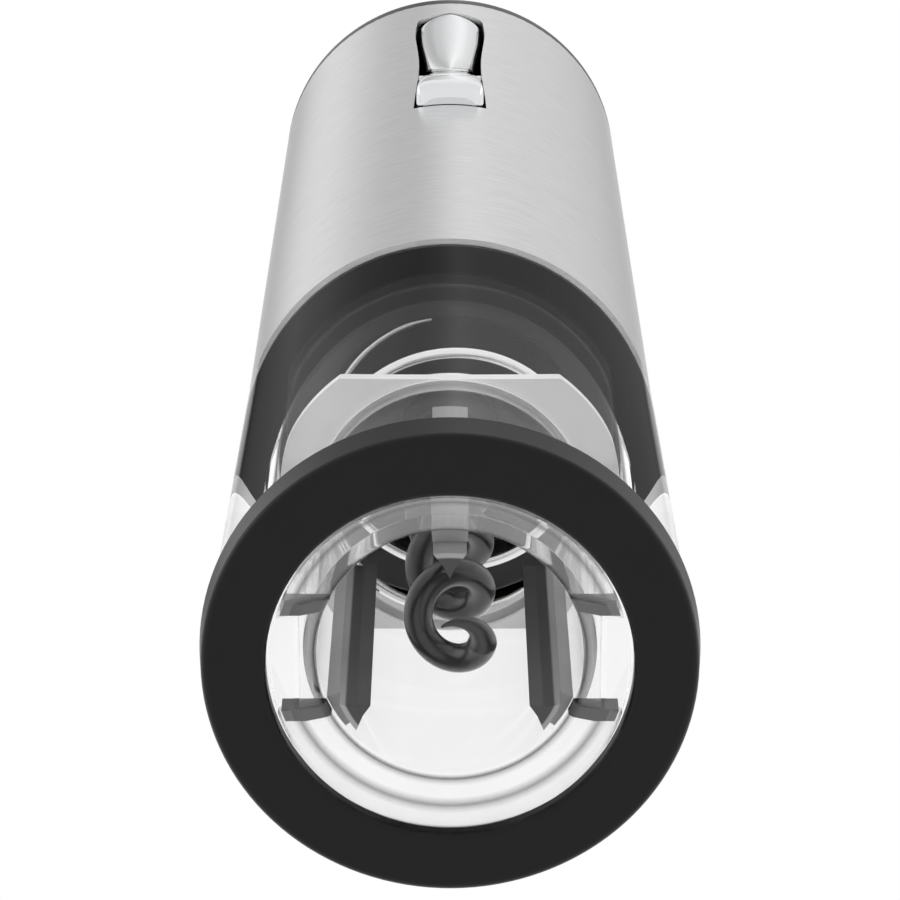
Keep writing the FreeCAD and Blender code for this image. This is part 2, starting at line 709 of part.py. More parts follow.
def steel_tube():
    """Brushed barrel with the button's window in front and the charge socket's slot behind."""
    barrel = tube(BARREL_R, BARREL_R - BARREL_WALL, BARREL_BOTTOM_Z, BARREL_TOP_Z)
    return barrel.cut([button_window(1.0), socket_opening()])


def chassis_half(side):
    """Half shell inside the barrel; side is -1 for the front half and 1 for the back."""
    shell = tube(CHASSIS_R, CHASSIS_BORE_R, CHASSIS_BOTTOM_Z, CHASSIS_TOP_Z)
    half = block((-FAR, FAR), (min(0, side * FAR), max(0, side * FAR)), (CHASSIS_BOTTOM_Z, CHASSIS_TOP_Z))
    return shell.common(half)


def chassis_front():
    """Front half shell with the window and the two lugs that carry the rocker's pivot pin."""
    z_span = (PIVOT_Z - LUG_BLOCK_HALF_HEIGHT, PIVOT_Z + LUG_BLOCK_HALF_HEIGHT)
    lugs = []
    for side in (-1, 1):
        x_span = sorted((side * LUG_BLOCK_X[0], side * LUG_BLOCK_X[1]))
        lug = block(x_span, (-CHASSIS_R, LUG_BLOCK_BACK_Y), z_span)
        lugs.append(lug.common(rod(CHASSIS_R, *z_span)))
    shell = fused([chassis_half(-1)] + lugs)
    return shell.cut([button_window(1.0), pivot_rod(PIVOT_R, PIVOT_HALF_LENGTH)])


def chassis_rear():
    return chassis_half(1).cut(socket_opening())


def top_cap():
    """Domed cap whose skirt plugs the barrel."""
    skirt_r = BARREL_R - BARREL_WALL - CAP_SKIRT_GAP
    cap = turned([
        (0.0, CAP_TOP_Z),
        (CAP_CROWN_R, CAP_TOP_Z, CAP_CROWN_ROUND),
        (BARREL_R, BARREL_TOP_Z + CAP_EDGE_R, CAP_SHOULDER_ROUND),
        (BARREL_R, BARREL_TOP_Z),
        (skirt_r, BARREL_TOP_Z),
        (skirt_r, CHASSIS_TOP_Z + TOUCH_OVERLAP),
        (skirt_r - CAP_SKIRT_WALL, CHASSIS_TOP_Z + TOUCH_OVERLAP),
        (skirt_r - CAP_SKIRT_WALL, BARREL_TOP_Z + CAP_FLOOR),
        (0.0, BARREL_TOP_Z + CAP_FLOOR),
    ])
    return cap


def battery_cradle():
    """Two end plates joined by posts; the cells sit between the plates, the board on the posts."""
    height = (CRADLE_BOTTOM_Z, CRADLE_TOP_Z)
    blank = rod(CRADLE_R, *height).common(block((-FAR, FAR), (CRADLE_FRONT_Y, FAR), height))
    middle = (CRADLE_BOTTOM_Z + CRADLE_PLATE, CRADLE_TOP_Z - CRADLE_PLATE)
    posts = []
    for side in (-1, 1):
        x_span = sorted((side * CRADLE_POST_X[0], side * CRADLE_POST_X[1]))
        posts.append(block(x_span, (CRADLE_FRONT_Y, CRADLE_POST_BACK_Y), height))
    plates = blank.cut(block((-FAR, FAR), (-FAR, FAR), middle))
    return fused([plates] + posts).cut(board_screw_rods(BOARD_SCREW_R, BOARD_SCREW_LENGTH))


def battery_cell(x, nub_up):
    bottom = CELL_BOTTOM_Z + (0 if nub_up else CELL_NUB)
    body = rod(CELL_R, bottom, bottom + CELL_LENGTH - CELL_NUB, x, CELL_Y)
    nub = rod(CELL_NUB_R, CELL_BOTTOM_Z, CELL_BOTTOM_Z + CELL_LENGTH, x, CELL_Y)
    return fused([body, nub])


def cell_straps():
    """Welded strips: one joins the cells below, and each cell has its own tab above."""
    y_span = (CELL_Y - STRAP_HALF_WIDTH, CELL_Y + STRAP_HALF_WIDTH)
    reach = CELL_X + STRAP_HALF_WIDTH
    cell_top = CELL_BOTTOM_Z + CELL_LENGTH
    lower = block((-reach, reach), y_span, (CELL_BOTTOM_Z - STRAP, CELL_BOTTOM_Z))
    upper = block((CELL_X - STRAP_HALF_WIDTH, reach), y_span, (cell_top, cell_top + STRAP))
    return [lower, upper, upper.translated(V(-2 * CELL_X, 0, 0))]


def board_screw_rods(radius, length):
    rods = []
    for x in (-BOARD_SCREW_X, BOARD_SCREW_X):
        for z in BOARD_SCREW_ZS:
            rods.append(Part.makeCylinder(radius, length, V(x, BOARD_FRONT_Y, z), BACK))
    return rods


def circuit_board():
    board = block((-BOARD_HALF_WIDTH, BOARD_HALF_WIDTH), (BOARD_FRONT_Y, BOARD_BACK_Y),
                  (BOARD_BOTTOM_Z, BOARD_TOP_Z))
    return board.cut(board_screw_rods(BOARD_SCREW_R, BOARD_SCREW_LENGTH))


def board_screws():
    screws = []
    for shank in board_screw_rods(BOARD_SCREW_R, BOARD_SCREW_LENGTH):
        place = shank.BoundBox.Center
        head_start = V(place.x, BOARD_FRONT_Y - BOARD_SCREW_HEAD, place.z)
        head = Part.makeCylinder(BOARD_SCREW_HEAD_R, BOARD_SCREW_HEAD, head_start, BACK)
        screws.append(fused([shank, head]))
    return screws


def button_switches():
    """Two switches behind the rocker's ends, drawn with their plungers pressed."""
    switches = []
    for z in POST_ZS:
        depth = (SWITCH_FACE_Y, BOARD_FRONT_Y)
        body = block((-SWITCH_HALF, SWITCH_HALF), depth, (z - SWITCH_HALF, z + SWITCH_HALF))
        plunger_length = BOARD_FRONT_Y - PLUNGER_FACE_Y
        plunger = Part.makeCylinder(PLUNGER_R, plunger_length, V(0, PLUNGER_FACE_Y, z), BACK)
        switches.append(fused([body, plunger]))
    return switches


def socket_shell():
    outer = socket_slot(SOCKET_HALF_WIDTH, SOCKET_HALF_HEIGHT, SOCKET_BACK_Y, SOCKET_MOUTH_Y)
    return outer.cut(socket_slot(SOCKET_HALF_WIDTH - SOCKET_WALL, SOCKET_HALF_HEIGHT - SOCKET_WALL,
                                 SOCKET_BACK_Y + SOCKET_WALL, SOCKET_MOUTH_Y))


def socket_tongue():
    return block((-SOCKET_TONGUE_HALF_WIDTH, SOCKET_TONGUE_HALF_WIDTH),
                 (SOCKET_BACK_Y + SOCKET_WALL, SOCKET_TONGUE_TIP_Y),
                 (SOCKET_Z - SOCKET_TONGUE_HALF_HEIGHT, SOCKET_Z + SOCKET_TONGUE_HALF_HEIGHT))


def charge_board():
    top = SOCKET_Z - SOCKET_HALF_HEIGHT
    return block((-CHARGE_BOARD_HALF_WIDTH, CHARGE_BOARD_HALF_WIDTH), CHARGE_BOARD_Y,
                 (top - CHARGE_BOARD_THICK, top))


# Rocker

def rocker_button():
    """Waisted rocker: its lower end stands out as a nose, its upper half is dished for a thumb."""
    face = [V(-FAR, -BARREL_R - stand_off, z) for z, stand_off in ROCKER_STAND_OFFS]
    curve = Part.BSplineCurve()
    curve.interpolate(face)
    nose = V(-FAR, face[0].y + ROCKER_NOSE_RISE, ROCKER_BOTTOM_Z)
    corners = [face[-1], V(-FAR, ROCKER_BACK_Y, ROCKER_TOP_Z), V(-FAR, ROCKER_BACK_Y, ROCKER_BOTTOM_Z), nose,
               face[0]]
    sides = [Part.LineSegment(a, b).toShape() for a, b in zip(corners, corners[1:])]
    slab = Part.Face(Part.Wire(Part.__sortEdges__([curve.toShape()] + sides))).extrude(RIGHT * (2 * FAR))
    posts = []
    post_tip = PLUNGER_FACE_Y - POST_GAP
    for z in POST_ZS:
        posts.append(Part.makeCylinder(POST_R, post_tip - ROCKER_BACK_Y, V(0, ROCKER_BACK_Y, z), BACK))
    button = fused([slab.common(button_window(0.0))] + posts)
    return button.cut(pivot_rod(PIVOT_R + RUNNING_FIT, PIVOT_HALF_LENGTH))


def all_nodes():
    """Every node's name with its list of solids."""
    nodes = {
        "bottom_ring": [bottom_ring()],
        "clear_sleeve": [clear_sleeve()],
        "steel_tube": [steel_tube()],
        "top_cap": [top_cap()],
        "bulkhead": [bulkhead()],
        "output_bush": [output_bush()],
        "chassis_front": [chassis_front()],
        "chassis_rear": [chassis_rear()],
        "gear_case": [gear_case()],
        "ring_gear": [ring_gear()],
        "gear_cover": [gear_cover()],
        "gearbox_screws": gearbox_screws(),
        "motor_can": [motor_can()],
        "motor_screws": motor_screws(),
        "motor_magnets": motor_magnets(),
        "motor_end_bell": [motor_end_bell()],
        "motor_terminals": motor_terminals(),
        "battery_cradle": [battery_cradle()],
        "battery_cells": [battery_cell(-CELL_X, True), battery_cell(CELL_X, False)],
        "cell_straps": cell_straps(),
        "circuit_board": [circuit_board()],
        "board_screws": board_screws(),
        "button_switches": button_switches(),
        "charge_board": [charge_board()],
        "socket_shell": [socket_shell()],
        "socket_tongue": [socket_tongue()],
        "pivot_pin": [pivot_rod(PIVOT_R, PIVOT_HALF_LENGTH)],
        "neck_guide": [neck_guide()],
        "guide_keys": guide_keys(),
        "cork_grip_ribs": cork_grip_ribs(),
        "guide_spring": [guide_spring()],
        "worm": [worm()],
        "chuck": [chuck()],
        "chuck_screw": [chuck_screw()],
        "thrust_washer": [thrust_washer()],
        "output_shaft": [output_shaft()],
        "planet_carrier": [planet_carrier()],
        "planet_pins": planet_pins(),
        "planet_clips": planet_clips(),
        "sun_gear": [sun_gear()],
        "motor_shaft": [motor_shaft()],
        "motor_armature": [motor_armature()],
        "motor_commutator": [motor_commutator()],
        "rocker_button": [rocker_button()],
    }
    for i, angle in enumerate(planet_angles()):
        nodes["planet_gear_" + str(i + 1)] = [spun(planet_gear(), angle)]
    return nodes


def export(node, solids):
    shape = solids[0] if len(solids) == 1 else Part.makeCompound(solids)
    if len(shape.Solids) != len(solids) or not shape.isValid():
        raise RuntimeError(node + " has " + str(len(shape.Solids)) + " solids or is not valid")
    shape.exportStep("parts/" + node + ".step")


os.makedirs("parts", exist_ok=True)
for node_name, node_solids in all_nodes().items():
    export(node_name, node_solids)
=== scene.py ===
import json
import math

import bmesh
import bpy
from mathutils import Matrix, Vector


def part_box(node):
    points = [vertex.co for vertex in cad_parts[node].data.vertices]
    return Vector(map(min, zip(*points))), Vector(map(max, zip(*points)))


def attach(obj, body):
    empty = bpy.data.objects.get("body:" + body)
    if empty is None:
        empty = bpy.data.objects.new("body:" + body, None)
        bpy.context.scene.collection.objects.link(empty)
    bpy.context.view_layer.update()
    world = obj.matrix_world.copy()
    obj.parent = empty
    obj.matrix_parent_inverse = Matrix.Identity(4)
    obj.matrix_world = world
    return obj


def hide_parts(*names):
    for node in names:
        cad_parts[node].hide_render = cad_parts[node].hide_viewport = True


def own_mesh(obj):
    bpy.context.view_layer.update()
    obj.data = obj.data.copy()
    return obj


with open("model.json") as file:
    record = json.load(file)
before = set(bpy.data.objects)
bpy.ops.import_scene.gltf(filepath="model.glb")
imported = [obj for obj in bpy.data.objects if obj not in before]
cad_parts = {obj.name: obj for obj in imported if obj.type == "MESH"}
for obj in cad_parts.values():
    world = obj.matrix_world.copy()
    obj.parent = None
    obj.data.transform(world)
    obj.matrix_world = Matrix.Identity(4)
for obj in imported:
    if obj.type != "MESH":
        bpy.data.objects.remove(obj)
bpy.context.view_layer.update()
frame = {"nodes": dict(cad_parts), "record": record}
NODES = frame["nodes"]

# Camera: it stands below and in front of the upright opener and looks up along its barrel.
CAMERA_PLACE = (0.0, -0.1466, -0.3197)
CAMERA_TILT = math.radians(21.06)
SENSOR_WIDTH = 36.0
FRAME_WIDTH = 900
FOCAL_IN_FRAME = 3516

FLOOR_Z = -0.46
FLOOR_SIZE = 6.0
FLOOR_GRAIN = 40.0
NEAREST_SEEN = 0.01

# Heights on the clear guide, above its lip and below its top
THROAT_ABOVE_LIP = 0.0024
# Half width of the painted shade line at the throat; it is also the width of the clearness blends
THROAT_LINE = 0.0005
FLANGE_THICK = 0.0016
FLARE_CLEARNESS = 0.8
FLANGE_CLEARNESS = 0.04

# Ribs: their bodies are painted lighter than their blade edges, painted light that stands in for the light
# the bodies catch; the blade edges start inside this radius
RIB_BLADE_R = 0.0116
RIB_BLADE_BLEND = 0.0002
RIB_BLADE_SHADE = 0.05
# Painted light: the light grey given to the rib bodies
RIB_BODY_PAINTED_LIGHT = 0.34

# Rocker button: share of its height, half width and stand-off from the barrel in millimetres
ROCKER_STATIONS = (
    (0.0, 4.4, 2.3), (0.04, 4.38, 2.95), (0.12, 4.1, 2.6), (0.2, 3.85, 1.75),
    (0.3, 3.6, 0.75), (0.42, 3.45, 0.0), (0.54, 3.6, -0.55), (0.65, 3.85, -0.8),
    (0.78, 4.25, -0.8), (0.9, 4.4, -0.55), (1.0, 4.4, -0.1),
)
ROCKER_LAYERS = 120
ROCKER_POINTS = 40
ROCKER_SQUARENESS = 0.3
ROCKER_EDGE = 1.6
ROCKER_DEPTH = 3.5
ROCKER_LEAST_HALF = 0.02
ROCKER_CROWN = 0.08
ROCKER_SHARP_FROM = math.radians(50)
BARREL_R = 24.0
MM = 0.001

# Surroundings: brightness of the sky by height, and the soft panels that shape the metal
SKY_STOPS = ((0.0, 0.8), (0.35, 0.82), (0.5, 0.86), (0.62, 0.9), (0.8, 0.95), (1.0, 1.0))
# Overhead, the brightness goes round by bearing from the button's side, as a share of a full turn.
# Straight behind the opener it is white; the rest is what the upright steel mirrors.
OVERHEAD_STOPS = (
    (0.0, 1.0), (0.088, 1.0), (0.1, 0.12), (0.125, 0.3), (0.17, 0.55), (0.215, 0.92), (0.28, 0.88),
    (0.36, 0.58), (0.45, 0.5), (0.485, 0.66), (0.515, 1.0), (0.545, 0.84), (0.62, 0.76), (0.7, 0.74),
    (0.8, 0.62), (0.875, 0.45), (0.9, 0.3), (0.912, 1.0), (1.0, 1.0),
)
OVERHEAD_FROM_HEIGHT = (0.7, 0.85)
PANEL_SIZE = (0.7, 1.6)
PANEL_POWER = 1.2
PANEL_PLACE = (1.4, -0.3, 0.6)
PANEL_TARGET = (0.0, 0.0, 0.1)

# Materials: noise scales are per metre, bump distances in metres, and the last number is detail.
COLOUR_STOPS = (0.3, 0.7)
MOULDED_GRAIN = 900.0
SOFT_TOUCH_GRAIN = 2600.0
CLOUD_SHARE = 12
CLOUD_DETAIL = 3.0
MOULDED_GLOSS_SPREAD = (0.85, 1.15)
MOULDED_BUMP = (0.1, 0.00001)
COAT_ROUGHNESS = 0.12
BRUSHED_RINGS = ((0.02, 0.02, 1.0), 5200.0, 6.0)
BRUSHED_BANDS = ((0.12, 0.12, 1.0), 2400.0, 5.0)
BRUSHED_SPREAD = 0.06
BRUSHED_GLOSS_SPREAD = (0.8, 1.2)
BRUSHED_BUMP = (0.2, 0.00001)
BRUSHED_DIRECTION = 0.6
FLOW_MARKS = ((1, 1, 0.25), 160.0, 3.0)
FLOW_SPREAD = 0.015
FLOW_GLOSS_SPREAD = (0.5, 1.5)
FLOW_BUMP = (0.06, 0.0001)
CLEAR_COAT_ROUGHNESS = 0.03
# Painted shade: the grey of the dark line painted round the clear guide's throat edge
THROAT_PAINTED_SHADE = 0.03

# The colour sockets of a Mix node
MIX_A = 6
MIX_B = 7


# Node helpers

def new_material(name):
    material = bpy.data.materials.new(name)
    material.use_nodes = True
    tree = material.node_tree
    return material, tree, tree.nodes["Principled BSDF"]


def add_node(tree, kind, **settings):
    node = tree.nodes.new("ShaderNode" + kind)
    for key, value in settings.items():
        if key in node.inputs:
            node.inputs[key].default_value = value
        else:
            setattr(node, key, value)
    return node


def stretched_noise(tree, stretch, scale, detail=4.0):
    """Noise over the object's own coordinates, stretched along chosen axes."""
    place = add_node(tree, "TexCoord")
    mapping = add_node(tree, "Mapping", Scale=stretch)
    noise = add_node(tree, "TexNoise", Scale=scale, Detail=detail)
    tree.links.new(place.outputs["Object"], mapping.inputs["Vector"])
    tree.links.new(mapping.outputs["Vector"], noise.inputs["Vector"])
    return noise.outputs["Fac"]


def ramp(tree, factor, stops):
    stops = list(stops)
    node = add_node(tree, "ValToRGB")
    elements = node.color_ramp.elements
    while len(elements) < len(stops):
        elements.new(0.5)
    for element, (position, colour) in zip(elements, stops):
        element.position = position
        element.color = colour if len(colour) == 4 else (*colour, 1.0)
    tree.links.new(factor, node.inputs["Fac"])
    return node.outputs["Color"]


def value_range(tree, factor, low, high):
    node = add_node(tree, "MapRange")
    node.inputs["To Min"].default_value = low
    node.inputs["To Max"].default_value = high
    tree.links.new(factor, node.inputs["Value"])
    return node.outputs["Result"]


def bump(tree, height, strength, distance):
    node = add_node(tree, "Bump", Strength=strength, Distance=distance)
    tree.links.new(height, node.inputs["Height"])
    return node.outputs["Normal"]


def shades(colour, spread):
    """A darker and a lighter version of one colour."""
    return [tuple(max(0.0, channel * factor) for channel in colour) for factor in (1 - spread, 1 + spread)]


# Materials

def colour_range(tree, factor, dark_and_light):
    return ramp(tree, factor, zip(COLOUR_STOPS, dark_and_light))


def vary(tree, shader, noise, dark_and_light, roughness, gloss_spread):
    """Slight changes of colour and gloss that follow one noise."""
    tree.links.new(colour_range(tree, noise, dark_and_light), shader.inputs["Base Color"])
    low, high = (roughness * share for share in gloss_spread)
    tree.links.new(value_range(tree, noise, low, high), shader.inputs["Roughness"])


def plain_material(name, colour, roughness, metallic=0.0, spread=0.12, grain=MOULDED_GRAIN, coat=0.0,
                   shine=0.5):
    """Moulded or machined surface: slight colour, gloss and height variation over a fine grain."""
    material, tree, shader = new_material(name)
    grain_noise = stretched_noise(tree, (1, 1, 1), grain)
    cloud_noise = stretched_noise(tree, (1, 1, 1), grain / CLOUD_SHARE, CLOUD_DETAIL)
    vary(tree, shader, cloud_noise, shades(colour, spread), roughness, MOULDED_GLOSS_SPREAD)
    tree.links.new(bump(tree, grain_noise, *MOULDED_BUMP), shader.inputs["Normal"])
    shader.inputs["Specular IOR Level"].default_value = shine
    shader.inputs["Metallic"].default_value = metallic
    shader.inputs["Coat Weight"].default_value = coat
    shader.inputs["Coat Roughness"].default_value = COAT_ROUGHNESS
    return material


def brushed_material(name, colour, roughness):
    """Steel brushed round the barrel: fine rings of varied height, gloss and shade."""
    material, tree, shader = new_material(name)
    rings = stretched_noise(tree, *BRUSHED_RINGS)
    bands = stretched_noise(tree, *BRUSHED_BANDS)
    tree.links.new(colour_range(tree, bands, shades(colour, BRUSHED_SPREAD)), shader.inputs["Base Color"])
    low, high = (roughness * share for share in BRUSHED_GLOSS_SPREAD)
    tree.links.new(value_range(tree, rings, low, high), shader.inputs["Roughness"])
    tree.links.new(bump(tree, rings, *BRUSHED_BUMP), shader.inputs["Normal"])
    tangent = add_node(tree, "Tangent", direction_type="RADIAL", axis="Z")
    tree.links.new(tangent.outputs["Tangent"], shader.inputs["Tangent"])
    shader.inputs["Metallic"].default_value = 1.0
    shader.inputs["Anisotropic"].default_value = BRUSHED_DIRECTION
    return material


def height_ramp(tree, low, high, stops):
    """Grey by height; the stops are (height in metres, grey)."""
    place = add_node(tree, "TexCoord")
    split = add_node(tree, "SeparateXYZ")
    tree.links.new(place.outputs["Object"], split.inputs["Vector"])
    share = add_node(tree, "MapRange")
    share.inputs["From Min"].default_value = low
    share.inputs["From Max"].default_value = high
    tree.links.new(split.outputs["Z"], share.inputs["Value"])
    shares = [((height - low) / (high - low), (grey, grey, grey)) for height, grey in stops]
    return ramp(tree, share.outputs["Result"], shares)


def clear_material(name, shade, roughness, bend, gloss):
    """Clear moulded plastic with faint flow marks; bend is how much light turns on its way through."""
    material, tree, shader = new_material(name)
    flow = stretched_noise(tree, *FLOW_MARKS)
    vary(tree, shader, flow, shades((shade, shade, shade), FLOW_SPREAD), roughness, FLOW_GLOSS_SPREAD)
    tree.links.new(bump(tree, flow, *FLOW_BUMP), shader.inputs["Normal"])
    shader.inputs["Transmission Weight"].default_value = 1.0
    shader.inputs["IOR"].default_value = bend
    shader.inputs["Coat Weight"].default_value = gloss
    shader.inputs["Coat Roughness"].default_value = CLEAR_COAT_ROUGHNESS
    return material, tree, shader


def guide_material():
    """The clear guide: its flange is frosted, and a thin dark line of painted shade is painted round its
    throat's edge, standing in for how that edge looks through the clear plastic.
    """
    material, tree, shader = clear_material("clear_guide_plastic", 0.99, 0.02, 1.03, 0.35)
    low, high = (corner[2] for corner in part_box("neck_guide"))
    throat = low + THROAT_ABOVE_LIP
    flange = high - FLANGE_THICK
    # Painted shade: a thin dark line multiplied into the colour at the throat's edge
    painted_throat_shade = height_ramp(tree, low, high, (
        (low, 1.0), (throat - THROAT_LINE, 1.0), (throat, THROAT_PAINTED_SHADE), (throat + THROAT_LINE, 1.0),
        (high, 1.0)))
    painted_shade_mix = add_node(tree, "Mix", data_type="RGBA", blend_type="MULTIPLY")
    painted_shade_mix.inputs["Factor"].default_value = 1.0
    plain_colour = shader.inputs["Base Color"].links[0].from_socket
    tree.links.new(plain_colour, painted_shade_mix.inputs[MIX_A])
    tree.links.new(painted_throat_shade, painted_shade_mix.inputs[MIX_B])
    tree.links.new(painted_shade_mix.outputs[2], shader.inputs["Base Color"])
    clearness = height_ramp(tree, low, high, (
        (low, FLARE_CLEARNESS), (throat, FLARE_CLEARNESS), (throat + THROAT_LINE, 1.0),
        (flange - THROAT_LINE, 1.0), (flange, FLANGE_CLEARNESS), (high, FLANGE_CLEARNESS)))
    tree.links.new(clearness, shader.inputs["Transmission Weight"])
    return material


def rib_painted_light_material():
    """Dark moulding whose bodies are painted lighter than their blade edges, as painted light."""
    material = plain_material("rib_moulding_painted_light", (RIB_BODY_PAINTED_LIGHT,) * 3, 0.35)
    tree = material.node_tree
    shader = tree.nodes["Principled BSDF"]
    place = add_node(tree, "TexCoord")
    flatten = add_node(tree, "VectorMath", operation="MULTIPLY")
    flatten.inputs[1].default_value = (1.0, 1.0, 0.0)
    reach = add_node(tree, "VectorMath", operation="LENGTH")
    tree.links.new(place.outputs["Object"], flatten.inputs[0])
    tree.links.new(flatten.outputs["Vector"], reach.inputs[0])
    share = add_node(tree, "MapRange")
    share.inputs["From Min"].default_value = RIB_BLADE_R - RIB_BLADE_BLEND
    share.inputs["From Max"].default_value = RIB_BLADE_R
    tree.links.new(reach.outputs["Value"], share.inputs["Value"])
    # Painted light: bodies outside RIB_BLADE_R get the lighter grey, blade edges inside it stay dark
    mix = add_node(tree, "Mix", data_type="RGBA")
    mix.inputs[MIX_A].default_value = (RIB_BLADE_SHADE,) * 3 + (1.0,)
    painted_light_body_colour = shader.inputs["Base Color"].links[0].from_socket
    tree.links.new(share.outputs["Result"], mix.inputs["Factor"])
    tree.links.new(painted_light_body_colour, mix.inputs[MIX_B])
    tree.links.new(mix.outputs[2], shader.inputs["Base Color"])
    return material


def make_materials():
    return {
        "black_soft_touch": plain_material(
            "soft_black", (0.0025, 0.0025, 0.0025), 0.3, grain=SOFT_TOUCH_GRAIN, shine=0.26),
        "clear_plastic": clear_material("clear_sleeve_plastic", 0.995, 0.012, 1.008, 0.2)[0],
        "clear_plastic_guide": guide_material(),
        "brushed_steel": brushed_material("brushed_barrel", (0.74, 0.74, 0.74), 0.3),
        "black_plastic": plain_material("black_moulding", (0.02, 0.02, 0.02), 0.4, shine=0.3),
        "dark_plastic": rib_painted_light_material(),
        "smoke_plastic": plain_material("smoke_moulding", (0.12, 0.12, 0.12), 0.3),
        "bronze": plain_material("bronze", (0.62, 0.42, 0.2), 0.3, metallic=1.0),
        "white_nylon": plain_material("white_nylon", (0.78, 0.78, 0.74), 0.4),
        "zinc_steel": plain_material("zinc_steel", (0.62, 0.63, 0.65), 0.28, metallic=1.0),
        "motor_steel": plain_material("motor_steel", (0.5, 0.5, 0.5), 0.35, metallic=1.0),
        "ferrite": plain_material("ferrite", (0.05, 0.05, 0.05), 0.55),
        "cell_wrap": plain_material("cell_wrap", (0.05, 0.16, 0.42), 0.25, coat=0.5),
        "board_green": plain_material("board_green", (0.02, 0.16, 0.06), 0.35, coat=0.4),
        "polished_steel": plain_material(
            "polished_steel", (0.78, 0.78, 0.79), 0.12, metallic=1.0, spread=0.04),
        "spring_steel": plain_material(
            "spring_steel", (0.92, 0.92, 0.92), 0.22, metallic=1.0, spread=0.08),
        "worm_coating": plain_material("worm_coating", (0.02, 0.02, 0.021), 0.3, coat=0.4),
        "mirror_chrome": plain_material(
            "mirror_chrome", (0.86, 0.87, 0.88), 0.04, metallic=1.0, spread=0.02),
    }


def dress_nodes(materials):
    """Gives every CAD node the material of its slot in the record."""
    for entry in frame["record"]["subparts"]:
        node = NODES[entry["node"]]
        node.data.materials.clear()
        node.data.materials.append(materials[entry["material_slot"]])


# Surroundings

def grey_stops(stops):
    return [(position, (shade, shade, shade)) for position, shade in stops]


def make_world():
    """Sky that brightens with height; overhead it follows OVERHEAD_STOPS round the barrel."""
    world = bpy.data.worlds.new("studio")
    bpy.context.scene.world = world
    world.use_nodes = True
    tree = world.node_tree
    direction = add_node(tree, "TexCoord")
    split = add_node(tree, "SeparateXYZ")
    tree.links.new(direction.outputs["Generated"], split.inputs["Vector"])
    height = add_node(tree, "MapRange")
    height.inputs["From Min"].default_value = -1.0
    tree.links.new(split.outputs["Z"], height.inputs["Value"])
    sky = ramp(tree, height.outputs["Result"], grey_stops(SKY_STOPS))
    bearing = add_node(tree, "Math", operation="ARCTAN2")
    backward = add_node(tree, "Math", operation="MULTIPLY")
    backward.inputs[1].default_value = -1.0
    tree.links.new(split.outputs["Y"], backward.inputs[0])
    tree.links.new(split.outputs["X"], bearing.inputs[0])
    tree.links.new(backward.outputs["Value"], bearing.inputs[1])
    turn = add_node(tree, "MapRange")
    turn.inputs["From Min"].default_value = -math.pi
    turn.inputs["From Max"].default_value = math.pi
    tree.links.new(bearing.outputs["Value"], turn.inputs["Value"])
    overhead = ramp(tree, turn.outputs["Result"], grey_stops(OVERHEAD_STOPS))
    blend = add_node(tree, "MapRange")
    blend.inputs["From Min"].default_value, blend.inputs["From Max"].default_value = OVERHEAD_FROM_HEIGHT
    tree.links.new(split.outputs["Z"], blend.inputs["Value"])
    mix = add_node(tree, "Mix", data_type="RGBA")
    tree.links.new(blend.outputs["Result"], mix.inputs["Factor"])
    tree.links.new(sky, mix.inputs[MIX_A])
    tree.links.new(overhead, mix.inputs[MIX_B])
    tree.links.new(mix.outputs[2], tree.nodes["Background"].inputs["Color"])


def make_panel(name, side):
    """Soft light panel; side is -1 for the left and 1 for the right."""
    light = bpy.data.lights.new(name, "AREA")
    light.shape = "RECTANGLE"
    light.size, light.size_y = PANEL_SIZE
    light.energy = PANEL_POWER
    panel = bpy.data.objects.new(name, light)
    place = Vector((side * PANEL_PLACE[0], PANEL_PLACE[1], PANEL_PLACE[2]))
    panel.location = place
    panel.rotation_euler = (Vector(PANEL_TARGET) - place).to_track_quat("-Z", "Y").to_euler()
    bpy.context.collection.objects.link(panel)


def make_floor():
    mesh = bpy.data.meshes.new("floor")
    half = FLOOR_SIZE / 2
    outline = ((-half, -half), (half, -half), (half, half), (-half, half))
    corners = [(x, y, FLOOR_Z) for x, y in outline]
    mesh.from_pydata(corners, [], [(0, 1, 2, 3)])
    floor = bpy.data.objects.new("floor", mesh)
    paint = plain_material("pale_floor", (0.95, 0.95, 0.95), 0.6, spread=0.01, grain=FLOOR_GRAIN)
    floor.data.materials.append(paint)
    bpy.context.collection.objects.link(floor)


def make_camera():
    camera_data = bpy.data.cameras.new("camera")
    camera_data.sensor_width = SENSOR_WIDTH
    camera_data.lens = FOCAL_IN_FRAME / FRAME_WIDTH * SENSOR_WIDTH
    camera_data.clip_start = NEAREST_SEEN
    camera = bpy.data.objects.new("camera", camera_data)
    camera.location = CAMERA_PLACE
    # Blender's camera looks along its own -Z with +Y up; from straight up, it leans towards +Y.
    camera.rotation_euler = (math.pi - CAMERA_TILT, 0.0, 0.0)
    bpy.context.collection.objects.link(camera)
    bpy.context.scene.camera = camera


def smooth_value(stations, share, column):
    """Smooth curve through one column of the stations (Catmull-Rom)."""
    last = len(stations) - 1
    index = next((i for i in range(last) if share <= stations[i + 1][0]), last - 1)
    picks = [stations[max(0, min(last, index + offset))] for offset in (-1, 0, 1, 2)]
    before, start, end, after = picks
    span = end[0] - start[0]
    along = (share - start[0]) / span
    slope_in = (end[column] - before[column]) / max(end[0] - before[0], span) * span
    slope_out = (after[column] - start[column]) / max(after[0] - start[0], span) * span
    square, cube = along ** 2, along ** 3
    return (start[column] * (2 * cube - 3 * square + 1) + slope_in * (cube - 2 * square + along)
            + end[column] * (3 * square - 2 * cube) + slope_out * (cube - square))


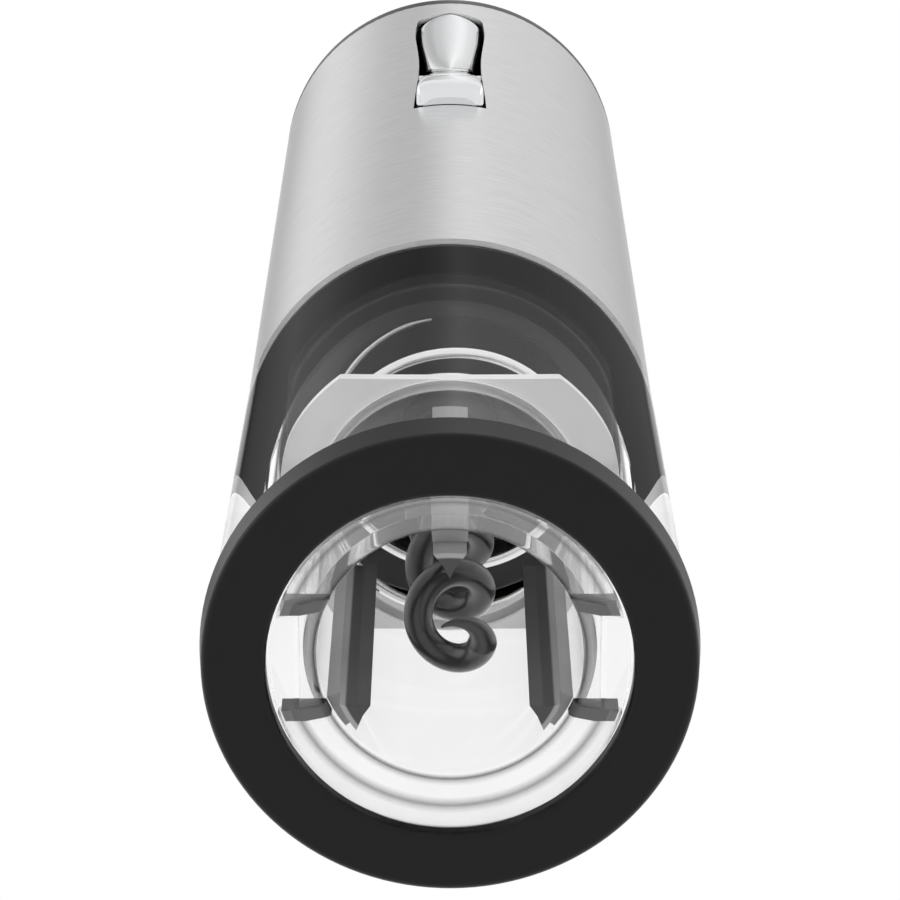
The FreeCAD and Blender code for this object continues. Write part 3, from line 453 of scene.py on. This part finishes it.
def rocker_section(height, low, high):
    """Half width and stand-off at one height, with rounded lower edges and a round upper end."""
    share = (height - low) / (high - low)
    half = smooth_value(ROCKER_STATIONS, share, 1)
    stand_off = smooth_value(ROCKER_STATIONS, share, 2)
    from_bottom = height - low
    if from_bottom < ROCKER_EDGE:
        inset = ROCKER_EDGE - math.sqrt(ROCKER_EDGE ** 2 - (ROCKER_EDGE - from_bottom) ** 2)
        half -= inset
        stand_off -= inset
    end_radius = ROCKER_STATIONS[-1][1]
    past_centre = height - (high - end_radius)
    if past_centre > 0:
        half = math.sqrt(max(end_radius ** 2 - past_centre ** 2, 0.0))
    return half, stand_off


def make_rocker(material):
    """Chromed rocker lofted from rounded sections."""
    low_corner, high_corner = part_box("rocker_button")
    low, high = low_corner[2] / MM, high_corner[2] / MM
    shape = bmesh.new()
    layers = []
    for i in range(ROCKER_LAYERS + 1):
        turn = math.pi * i / ROCKER_LAYERS
        height = low + (high - low) * (1 - math.cos(turn)) / 2
        half, stand_off = rocker_section(height, low, high)
        half = max(half, ROCKER_LEAST_HALF)
        back = -(BARREL_R + stand_off) + ROCKER_DEPTH
        layer = []
        for k in range(ROCKER_POINTS + 1):
            angle = math.pi * (k / ROCKER_POINTS - 0.5)
            across = math.copysign(abs(math.sin(angle)) ** ROCKER_SQUARENESS, math.sin(angle))
            at_side = k in (0, ROCKER_POINTS)
            out = 0.0 if at_side else math.cos(angle) ** ROCKER_SQUARENESS
            crown = half * across ** 2 * ROCKER_CROWN
            y = back - (ROCKER_DEPTH - crown) * out
            layer.append(shape.verts.new((half * across * MM, y * MM, height * MM)))
        layers.append(layer)
    for lower, upper in zip(layers, layers[1:]):
        for k in range(ROCKER_POINTS):
            shape.faces.new((lower[k], lower[k + 1], upper[k + 1], upper[k]))
        shape.faces.new((lower[-1], lower[0], upper[0], upper[-1]))
    shape.faces.new(list(reversed(layers[0])))
    shape.faces.new(layers[-1])
    bmesh.ops.recalc_face_normals(shape, faces=shape.faces)
    mesh = bpy.data.meshes.new("chrome_rocker")
    shape.to_mesh(mesh)
    shape.free()
    mesh.shade_smooth()
    mesh.set_sharp_from_angle(angle=ROCKER_SHARP_FROM)
    rocker = bpy.data.objects.new("chrome_rocker", mesh)
    rocker.data.materials.append(material)
    bpy.context.collection.objects.link(rocker)
    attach(rocker, "rocker")
    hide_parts("rocker_button")


def make_spring(material):
    """The guide's spring again, as a separate smooth-shaded piece attached to the housing."""
    node = NODES["guide_spring"]
    spring = bpy.data.objects.new("coil_spring", node.data.copy())
    spring.matrix_world = node.matrix_world.copy()
    spring.data.materials.clear()
    spring.data.materials.append(material)
    spring.data.shade_smooth()
    bpy.context.collection.objects.link(spring)
    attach(spring, "housing")
    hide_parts("guide_spring")
    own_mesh(spring)


MATERIALS = make_materials()
dress_nodes(MATERIALS)
make_rocker(MATERIALS["mirror_chrome"])
make_spring(MATERIALS["spring_steel"])
make_camera()
make_world()
make_floor()
make_panel("left_panel", -1)
make_panel("right_panel", 1)
bpy.context.scene.view_settings.view_transform = "Standard"
